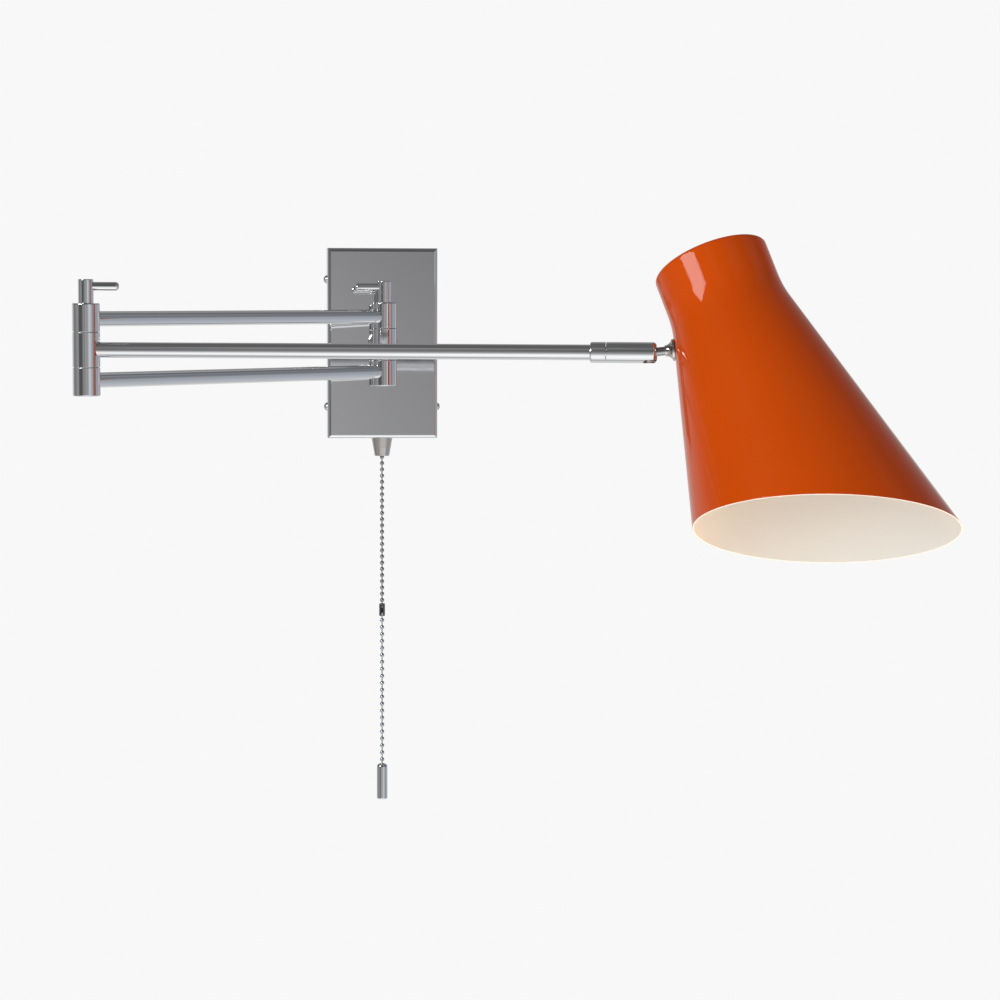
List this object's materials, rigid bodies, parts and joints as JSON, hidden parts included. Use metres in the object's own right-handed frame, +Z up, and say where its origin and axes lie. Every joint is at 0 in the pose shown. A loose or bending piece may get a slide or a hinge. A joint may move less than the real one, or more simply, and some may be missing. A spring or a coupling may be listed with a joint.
{
  "type": "swivel wall light",
  "caption": "Chrome swivel wall light: box wall mount with pull-chain switch, double swing arm with clamp levers, and an orange oblique cone shade on a slotted ball joint.",
  "frame": {"origin": "centre of the wall mount's back, on the wall plane", "axes": "+Z up, +X to the right, the light stands out of the wall towards -Y"},
  "size_m": [0.5532, 0.4535, 0.4166],
  "materials": {
    "chrome_plate": "polished chrome plate",
    "bead_chain": "bright nickel-plated ball chain",
    "satin_nickel": "satin nickel plate",
    "zinc_steel": "zinc-plated sheet steel",
    "orange_enamel": "glossy orange enamel outside, cream enamel inside",
    "white_plastic": "moulded white plastic",
    "bearing_plastic": "plain pale bearing plastic",
    "black_plastic": "moulded black plastic",
    "bulb_glass": "frosted white glass"
  },
  "bodies": {
    "wall_mount": {"wall_bracket": "zinc_steel", "wall_cover": "chrome_plate", "side_screws": "chrome_plate", "cable_grommet": "black_plastic", "terminal_block": "white_plastic", "stiffener": "zinc_steel", "arm_stub": "chrome_plate", "stub_rosette": "chrome_plate", "stub_nut": "zinc_steel", "wall_centre_knuckle": "chrome_plate", "pull_switch": "black_plastic", "chain_nozzle": "satin_nickel", "nozzle_tip": "chrome_plate"},
    "double_arm": {"upper_arm_tube": "chrome_plate", "lower_arm_tube": "chrome_plate", "wall_upper_knuckle": "chrome_plate", "wall_lower_knuckle": "chrome_plate", "elbow_upper_knuckle": "chrome_plate", "elbow_lower_knuckle": "chrome_plate", "wall_spindle": "zinc_steel", "elbow_spindle": "zinc_steel", "arm_washers": "bearing_plastic"},
    "wall_clamp": {"wall_clamp_cap": "chrome_plate", "wall_clamp_lever": "chrome_plate"},
    "elbow_clamp": {"elbow_clamp_cap": "chrome_plate", "elbow_clamp_lever": "chrome_plate"},
    "outer_arm": {"elbow_centre_knuckle": "chrome_plate", "outer_arm_tube": "chrome_plate", "socket_collar": "chrome_plate"},
    "socket": {"ball_socket": "chrome_plate", "ball_seat": "bearing_plastic"},
    "stem": {"ball_stem": "chrome_plate"},
    "head": {"cone_washer": "chrome_plate", "shade": "orange_enamel", "stem_nut": "zinc_steel", "holder_bracket": "zinc_steel", "holder_nut": "zinc_steel", "lampholder": "white_plastic", "bulb_cap": "zinc_steel", "bulb_glass": "bulb_glass"},
    "pull": {"switch_plunger": "white_plastic", "chain_lead": "bead_chain"},
    "chain": {"chain_upper": "bead_chain", "chain_coupling": "bead_chain"},
    "tail": {"chain_lower": "bead_chain", "chain_bob": "chrome_plate"}
  },
  "joints": [
    {"name": "double_arm_swing", "type": "hinge", "parent": "wall_mount", "child": "double_arm", "pos_m": [0, -0.05, 0], "axis": [0, 0, 1], "range_deg": [-43, 137]},
    {"name": "elbow_swing", "type": "hinge", "parent": "double_arm", "child": "outer_arm", "pos_m": [-0.20378, -0.24203, 0], "axis": [0, 0, -1], "range_deg": [-40, 180]},
    {"name": "wall_clamp_turn", "type": "hinge", "parent": "double_arm", "child": "wall_clamp", "pos_m": [0, -0.05, 0], "axis": [0, 0, 1], "range_deg": [0, 90]},
    {"name": "elbow_clamp_turn", "type": "hinge", "parent": "double_arm", "child": "elbow_clamp", "pos_m": [-0.20378, -0.24203, 0], "axis": [0, 0, 1], "range_deg": [0, 90]},
    {"name": "socket_roll", "type": "hinge", "parent": "outer_arm", "child": "socket", "pos_m": [0.15449, -0.31688, 0], "axis": [0.9789, -0.2045, 0], "range_deg": [-170, 170]},
    {"name": "shade_tilt", "type": "hinge", "parent": "socket", "child": "stem", "pos_m": [0.15449, -0.31688, 0], "axis": [0.191, 0.9145, -0.3567], "range_deg": [-5, 85]},
    {"name": "shade_turn", "type": "hinge", "parent": "stem", "child": "head", "pos_m": [0.15449, -0.31688, 0], "axis": [0.9807, -0.162, 0.1098], "range_deg": [-170, 170]},
    {"name": "switch_pull", "type": "slide", "parent": "wall_mount", "child": "pull", "axis": [0, 0, -1], "range_m": [0, 0.008], "stiffness_N_per_m": 500, "springref_m": -0.006},
    {"name": "chain_swing", "type": "hinge", "parent": "pull", "child": "chain", "pos_m": [0, -0.0125, -0.0846], "axis": [0, 1, 0], "range_deg": [-25, 25]},
    {"name": "tail_swing", "type": "hinge", "parent": "chain", "child": "tail", "pos_m": [0, -0.0125, -0.2015], "axis": [0, 1, 0], "range_deg": [-22, 22]}
  ]
}
